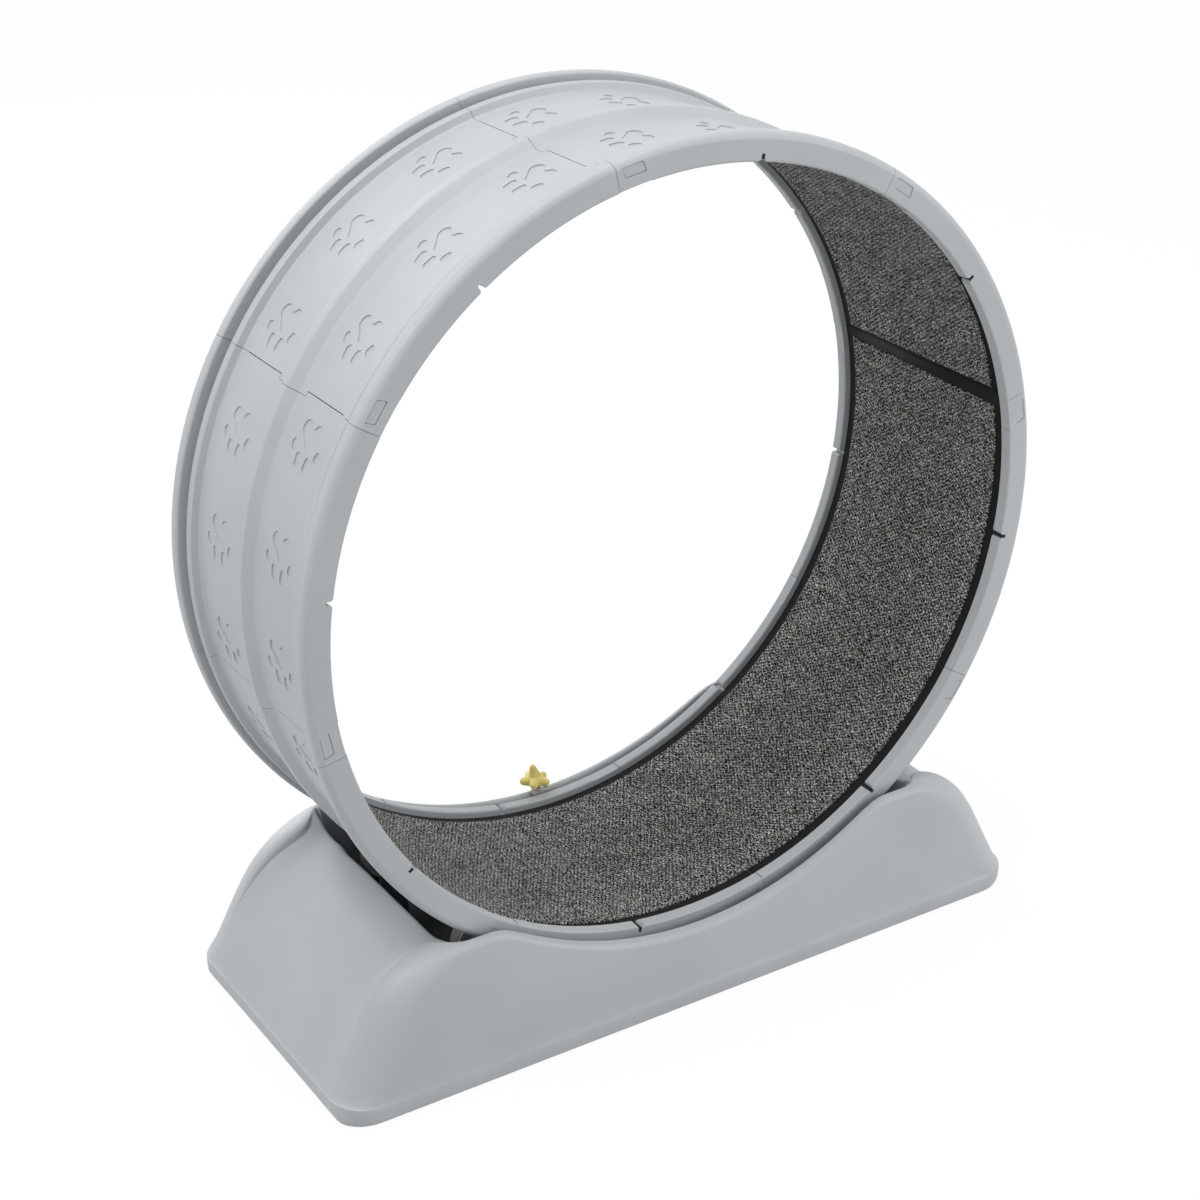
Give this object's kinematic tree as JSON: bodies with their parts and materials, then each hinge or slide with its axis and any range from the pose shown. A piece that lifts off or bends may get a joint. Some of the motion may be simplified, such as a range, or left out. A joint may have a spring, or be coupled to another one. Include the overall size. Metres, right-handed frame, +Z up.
{
  "type": "cat exercise wheel",
  "caption": "Large running wheel for a cat: clipped grey segments lined with carpet, turning on ball-bearing rollers in a long low foot, with a small soft star toy.",
  "frame": {"origin": "on the floor, under the middle of the foot", "axes": "+Z up, X along the foot's length, Y along the wheel's axis, -Y the side that faces the camera"},
  "size_m": [0.9, 0.375, 0.97],
  "materials": {
    "grey_plastic": "fine satin",
    "dark_plastic": "satin",
    "foot_rubber": "matte",
    "tyre_rubber": "matte",
    "steel": "zinc plated",
    "carpet": "short heathered loop pile",
    "toy_silicone": "soft matte"
  },
  "bodies": {
    "base": {"base_shell": "grey_plastic", "bottom_plate": "dark_plastic", "rubber_feet": "foot_rubber", "bracket_bolts": "steel", "bracket_nuts": "steel", "roller_bracket_1": "dark_plastic", "roller_bracket_2": "dark_plastic", "roller_bracket_3": "dark_plastic", "roller_bracket_4": "dark_plastic", "roller_axle_1": "steel", "roller_axle_2": "steel", "roller_axle_3": "steel", "roller_axle_4": "steel", "axle_nuts": "steel", "toy_clip": "grey_plastic"},
    "wheel": {"wheel_segment_1": "grey_plastic", "wheel_segment_2": "grey_plastic", "wheel_segment_3": "grey_plastic", "wheel_segment_4": "grey_plastic", "wheel_segment_5": "grey_plastic", "wheel_segment_6": "grey_plastic", "wheel_segment_7": "grey_plastic", "wheel_segment_8": "grey_plastic", "tread_mat_1": "carpet", "tread_mat_2": "carpet", "tread_mat_3": "carpet", "tread_mat_4": "carpet"},
    "roller_1": {"roller_hub_1": "grey_plastic", "roller_tyre_1": "tyre_rubber", "roller_bearings_1": "steel"},
    "roller_2": {"roller_hub_2": "grey_plastic", "roller_tyre_2": "tyre_rubber", "roller_bearings_2": "steel"},
    "roller_3": {"roller_hub_3": "grey_plastic", "roller_tyre_3": "tyre_rubber", "roller_bearings_3": "steel"},
    "roller_4": {"roller_hub_4": "grey_plastic", "roller_tyre_4": "tyre_rubber", "roller_bearings_4": "steel"},
    "toy_stem": {"toy_stem": "dark_plastic"},
    "toy_star": {"toy_star": "toy_silicone"}
  },
  "joints": [
    {"name": "wheel_spin", "type": "hinge", "parent": "base", "child": "wheel", "pos_m": [0, 0, 0.52], "axis": [0, 1, 0], "continuous": true},
    {"name": "roller_spin_1", "type": "hinge", "parent": "base", "child": "roller_1", "pos_m": [-0.2426, -0.1035, 0.12412], "axis": [0, 1, 0], "continuous": true},
    {"name": "roller_spin_2", "type": "hinge", "parent": "base", "child": "roller_2", "pos_m": [0.2426, -0.1035, 0.12412], "axis": [0, 1, 0], "continuous": true},
    {"name": "roller_spin_3", "type": "hinge", "parent": "base", "child": "roller_3", "pos_m": [-0.2426, 0.1035, 0.12412], "axis": [0, 1, 0], "continuous": true},
    {"name": "roller_spin_4", "type": "hinge", "parent": "base", "child": "roller_4", "pos_m": [0.2426, 0.1035, 0.12412], "axis": [0, 1, 0], "continuous": true},
    {"name": "toy_sway", "type": "hinge", "parent": "base", "child": "toy_stem", "pos_m": [-0.003, 0.168, 0.10075], "axis": [1, 0, 0], "range_deg": [-12, 12], "stiffness_Nm_per_rad": 0.02},
    {"name": "toy_nod", "type": "hinge", "parent": "toy_stem", "child": "toy_star", "pos_m": [-0.003, 0.168, 0.10475], "axis": [0, 1, 0], "range_deg": [-12, 12], "stiffness_Nm_per_rad": 0.02}
  ],
  "couplings": [
    {"joint": "roller_spin_1", "follows": "wheel_spin", "ratio": -14.467},
    {"joint": "roller_spin_2", "follows": "wheel_spin", "ratio": -14.467},
    {"joint": "roller_spin_3", "follows": "wheel_spin", "ratio": -14.467},
    {"joint": "roller_spin_4", "follows": "wheel_spin", "ratio": -14.467}
  ]
}
